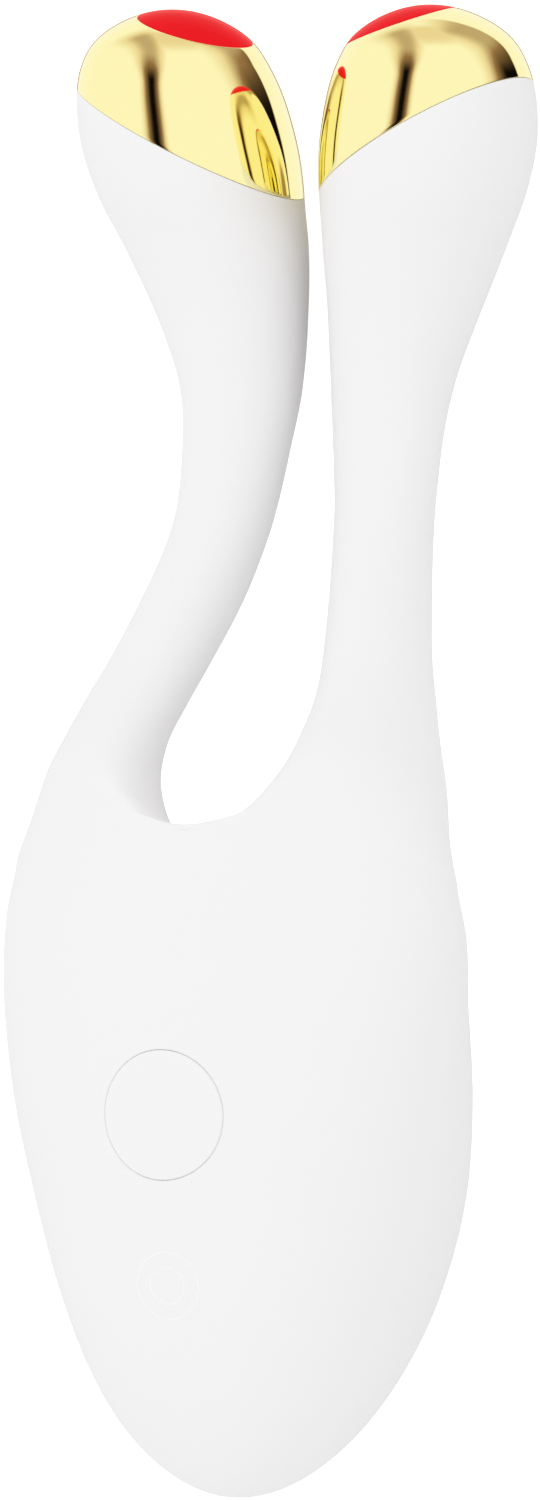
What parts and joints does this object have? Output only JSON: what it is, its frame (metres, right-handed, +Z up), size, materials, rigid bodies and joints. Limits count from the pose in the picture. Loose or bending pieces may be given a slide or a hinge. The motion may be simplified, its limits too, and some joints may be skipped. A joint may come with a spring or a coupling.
{
  "type": "facial lifting device",
  "caption": "Y-shaped handheld facial massager: a silicone-skinned handle with one button parts into two arms with gold-plated vibrating heads and red light windows",
  "frame": {"origin": "middle of the footprint, on the surface that the device lies on", "axes": "+Z up, the side with the button; +Y along the device from the handle's rounded end to the two heads; +X across, to the right seen from the button side"},
  "size_m": [0.0592, 0.1802, 0.051],
  "materials": {
    "white_silicone": "soft-touch matte silicone with a very fine grain",
    "white_abs": "moulded ABS, fine texture",
    "gold_plate": "polished pale gold plating, mirror-like",
    "red_window": "translucent red light window, smooth",
    "steel": "nickel-plated steel",
    "nylon": "natural nylon, moulded",
    "circuit_board": "green solder mask",
    "black_plastic": "black moulded plastic",
    "foam": "closed-cell foam",
    "cell_wrap": "printed-free shrink wrap",
    "lead_insulation": "silicone wire insulation",
    "led_lens": "LED with clear yellowish lens"
  },
  "bodies": {
    "device": {"silicone_skin": "white_silicone", "front_shell": "white_abs", "rear_shell": "white_abs", "charge_seat": "white_abs", "left_head_cap": "gold_plate", "right_head_cap": "gold_plate", "left_charge_pin": "gold_plate", "right_charge_pin": "gold_plate", "left_light_window": "red_window", "right_light_window": "red_window", "lower_left_shell_screw": "steel", "lower_right_shell_screw": "steel", "upper_left_shell_screw": "steel", "upper_right_shell_screw": "steel", "lower_left_board_screw": "steel", "lower_right_board_screw": "steel", "upper_left_board_screw": "steel", "upper_right_board_screw": "steel", "left_motor_can": "steel", "right_motor_can": "steel", "upper_magnet": "steel", "lower_magnet": "steel", "battery_connector": "nylon", "battery_tray": "nylon", "left_arm_core": "nylon", "right_arm_core": "nylon", "left_head_carrier": "nylon", "right_head_carrier": "nylon", "main_board": "circuit_board", "charge_board": "circuit_board", "left_light_board": "circuit_board", "right_light_board": "circuit_board", "switch_body": "black_plastic", "control_chip": "black_plastic", "charge_chip": "black_plastic", "battery_pad": "foam", "battery_cell": "cell_wrap", "battery_lead": "lead_insulation", "charge_lead": "lead_insulation", "left_arm_lead": "lead_insulation", "right_arm_lead": "lead_insulation", "left_light_led": "led_lens", "right_light_led": "led_lens"},
    "button": {"button_cap": "white_silicone", "button_key": "white_abs"},
    "plunger": {"switch_plunger": "white_abs"},
    "left_rotor": {"left_motor_shaft": "steel", "left_motor_weight": "steel"},
    "right_rotor": {"right_motor_shaft": "steel", "right_motor_weight": "steel"}
  },
  "joints": [
    {"name": "power_button", "type": "slide", "parent": "device", "child": "button", "axis": [0, 0.0431, -0.9991], "range_m": [0, 0.0005], "stiffness_N_per_m": 4000},
    {"name": "plunger_slide", "type": "slide", "parent": "device", "child": "plunger", "axis": [0, 0.0431, -0.9991], "range_m": [0, 0.0005]},
    {"name": "left_rotor_spin", "type": "hinge", "parent": "device", "child": "left_rotor", "pos_m": [-0.01364, 0.0631, 0.01153], "axis": [-0.2042, 0.958, 0.2013], "continuous": true},
    {"name": "right_rotor_spin", "type": "hinge", "parent": "device", "child": "right_rotor", "pos_m": [0.01364, 0.0631, 0.01153], "axis": [0.2042, 0.958, 0.2013], "continuous": true}
  ],
  "couplings": [
    {"joint": "plunger_slide", "follows": "power_button", "ratio": 1}
  ]
}
